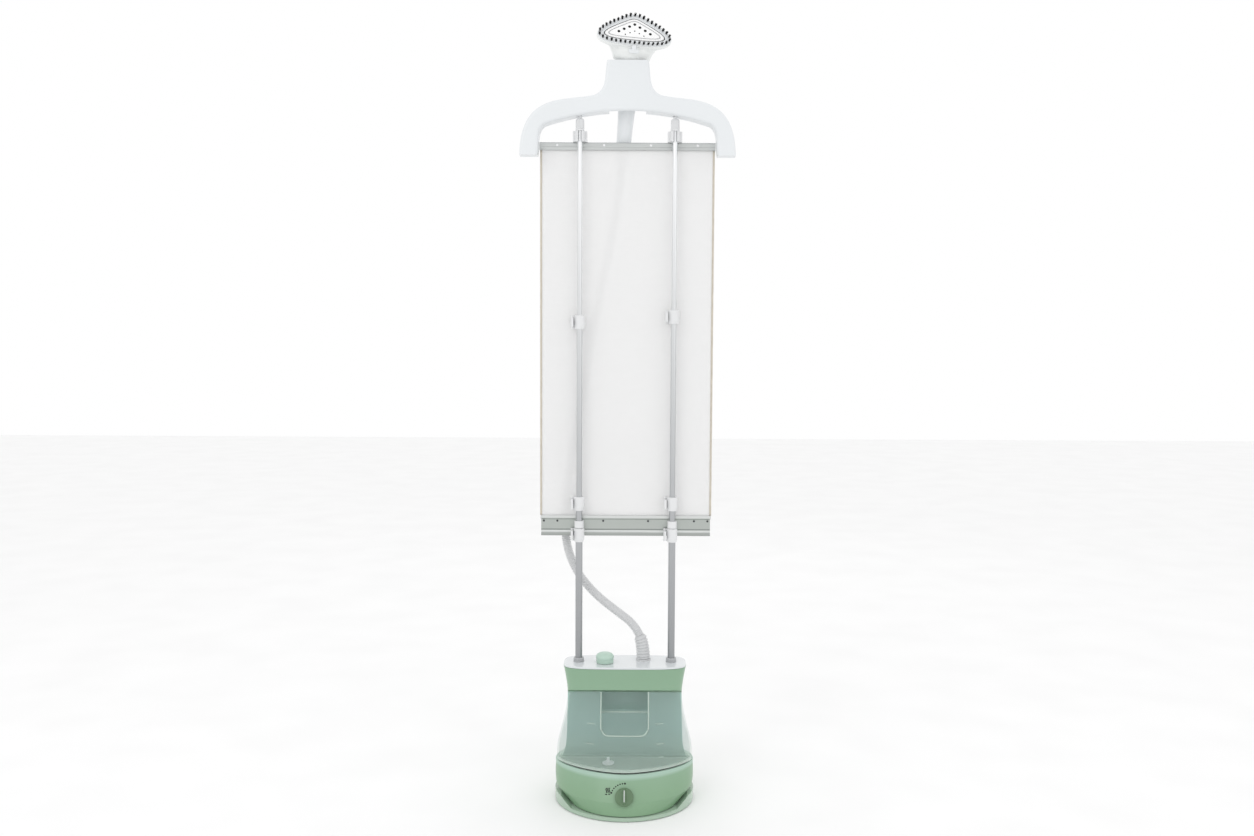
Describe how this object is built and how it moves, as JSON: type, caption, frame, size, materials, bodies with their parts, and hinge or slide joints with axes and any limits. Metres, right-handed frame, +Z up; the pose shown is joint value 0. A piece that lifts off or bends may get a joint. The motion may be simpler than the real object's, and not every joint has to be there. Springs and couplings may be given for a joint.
{
  "type": "garment steamer",
  "caption": "Upright garment steamer with a water tank, a telescopic twin-pole mast, a stretched pressing board, a hanger, a hose and a hand-held steam head.",
  "frame": {"origin": "centre of the round foot, on the floor", "axes": "+Z up along the mast, -Y is the front with the tank and dial, +X is to the right seen from the front"},
  "size_m": [0.4208, 0.2784, 1.5495],
  "materials": {
    "rubber": "matt moulded rubber",
    "foot_green": "pale glossy plastic",
    "body_green": "satin sage green moulded plastic",
    "deck_gloss": "glossy pale grey plastic",
    "socket_grey": "grey moulded plastic",
    "mint_plastic": "pale mint plastic",
    "hose_plastic": "pale grey flexible plastic",
    "dark_plastic": "dark moulded plastic",
    "bare_metal": "cast and machined metal",
    "copper": "drawn metal pipe",
    "tank_clear": "clear tinted tank plastic",
    "white_plastic": "satin white moulded plastic",
    "dial_green": "darker green plastic",
    "aluminium": "drawn satin aluminium tube",
    "collar_plastic": "pale grey moulded plastic",
    "rail_aluminium": "extruded satin aluminium",
    "screw_steel": "pan-head screws",
    "cloth": "thin white woven cloth, slightly see-through",
    "binding": "tan woven edge binding",
    "sole_ceramic": "pale smooth sole plate",
    "bristle": "black bristle ring"
  },
  "bodies": {
    "base": {"boiler": "bare_metal", "cord_gland": "dark_plastic", "deck": "deck_gloss", "feed_tube": "dark_plastic", "filler_neck": "mint_plastic", "foot_plate": "foot_green", "foot_screws": "screw_steel", "hose_boot": "hose_plastic", "hose_port": "hose_plastic", "lower_body": "body_green", "lower_collar_left": "collar_plastic", "lower_collar_right": "collar_plastic", "lower_tube_left": "aluminium", "lower_tube_right": "aluminium", "pole_sockets": "socket_grey", "rubber_feet": "rubber", "steam_hose": "hose_plastic", "steam_pipe": "copper", "tank_seat": "body_green", "thermostat": "bare_metal", "upper_body": "body_green", "valve_seat": "dark_plastic"},
    "tank": {"tank_shell": "tank_clear", "tank_valve": "white_plastic"},
    "dial": {"steam_dial": "dial_green", "dial_spindle": "bare_metal"},
    "cap": {"filler_cap": "mint_plastic"},
    "second_stage": {"second_tube_left": "aluminium", "second_tube_right": "aluminium", "second_collar_left": "collar_plastic", "second_collar_right": "collar_plastic", "bottom_rail": "rail_aluminium", "bottom_rail_screws": "screw_steel", "rail_clips": "collar_plastic", "press_cloth": "cloth", "cloth_bindings": "binding"},
    "third_stage": {"third_tube_left": "aluminium", "third_tube_right": "aluminium", "third_collar_left": "collar_plastic", "third_collar_right": "collar_plastic"},
    "top_stage": {"top_tube_left": "aluminium", "top_tube_right": "aluminium", "mast_brackets": "collar_plastic", "mast_cap_left": "collar_plastic", "mast_cap_right": "collar_plastic", "top_rail": "rail_aluminium", "top_rail_screws": "screw_steel", "hanger": "white_plastic", "cradle": "white_plastic"},
    "handset": {"handset_handle": "white_plastic", "handset_head": "white_plastic", "sole_plate": "sole_ceramic"},
    "brush": {"brush_ring": "white_plastic", "brush_tufts": "bristle"},
    "lower_lever_left": {"lower_lever_left": "collar_plastic"},
    "lower_lever_right": {"lower_lever_right": "collar_plastic"},
    "second_lever_left": {"second_lever_left": "collar_plastic"},
    "second_lever_right": {"second_lever_right": "collar_plastic"},
    "third_lever_left": {"third_lever_left": "collar_plastic"},
    "third_lever_right": {"third_lever_right": "collar_plastic"}
  },
  "joints": [
    {"name": "mast_lower_slide", "type": "slide", "parent": "base", "child": "second_stage", "axis": [0, 0, 1], "range_m": [0, 0.05]},
    {"name": "mast_middle_slide", "type": "slide", "parent": "second_stage", "child": "third_stage", "axis": [0, 0, 1], "range_m": [-0.31, 0], "deforming": ["press_cloth", "cloth_bindings", "steam_hose"]},
    {"name": "mast_upper_slide", "type": "slide", "parent": "third_stage", "child": "top_stage", "axis": [0, 0, 1], "range_m": [-0.31, 0]},
    {"name": "tank_slide", "type": "slide", "parent": "base", "child": "tank", "axis": [0, -1, 0], "range_m": [0, 0.15]},
    {"name": "steam_dial_turn", "type": "hinge", "parent": "base", "child": "dial", "pos_m": [0, -0.1233, 0.043], "axis": [0, -0.8387, 0.5446], "range_deg": [0, 65]},
    {"name": "filler_cap_lift", "type": "slide", "parent": "base", "child": "cap", "axis": [0, 0, 1], "range_m": [0, 0.04]},
    {"name": "handset_lift", "type": "slide", "parent": "top_stage", "child": "handset", "axis": [0.0857, -0.1822, 0.9795], "range_m": [0, 0.05]},
    {"name": "brush_pull", "type": "slide", "parent": "handset", "child": "brush", "axis": [0.1353, -0.9177, 0.3735], "range_m": [0, 0.02]},
    {"name": "lower_lever_left_turn", "type": "hinge", "parent": "base", "child": "lower_lever_left", "pos_m": [-0.10695, 0.007, 0.532], "axis": [0, 0, -1], "range_deg": [0, 95]},
    {"name": "lower_lever_right_turn", "type": "hinge", "parent": "base", "child": "lower_lever_right", "pos_m": [0.07855, 0.007, 0.532], "axis": [0, 0, -1], "range_deg": [0, 95]},
    {"name": "second_lever_left_turn", "type": "hinge", "parent": "second_stage", "child": "second_lever_left", "pos_m": [-0.10695, 0.007, 0.595], "axis": [0, 0, -1], "range_deg": [0, 95]},
    {"name": "second_lever_right_turn", "type": "hinge", "parent": "second_stage", "child": "second_lever_right", "pos_m": [0.07855, 0.007, 0.595], "axis": [0, 0, -1], "range_deg": [0, 95]},
    {"name": "third_lever_left_turn", "type": "hinge", "parent": "third_stage", "child": "third_lever_left", "pos_m": [-0.10695, 0.007, 0.955], "axis": [0, 0, -1], "range_deg": [0, 95]},
    {"name": "third_lever_right_turn", "type": "hinge", "parent": "third_stage", "child": "third_lever_right", "pos_m": [0.07855, 0.007, 0.966], "axis": [0, 0, -1], "range_deg": [0, 95]}
  ],
  "couplings": [
    {"joint": "mast_upper_slide", "follows": "mast_middle_slide", "ratio": 1}
  ]
}
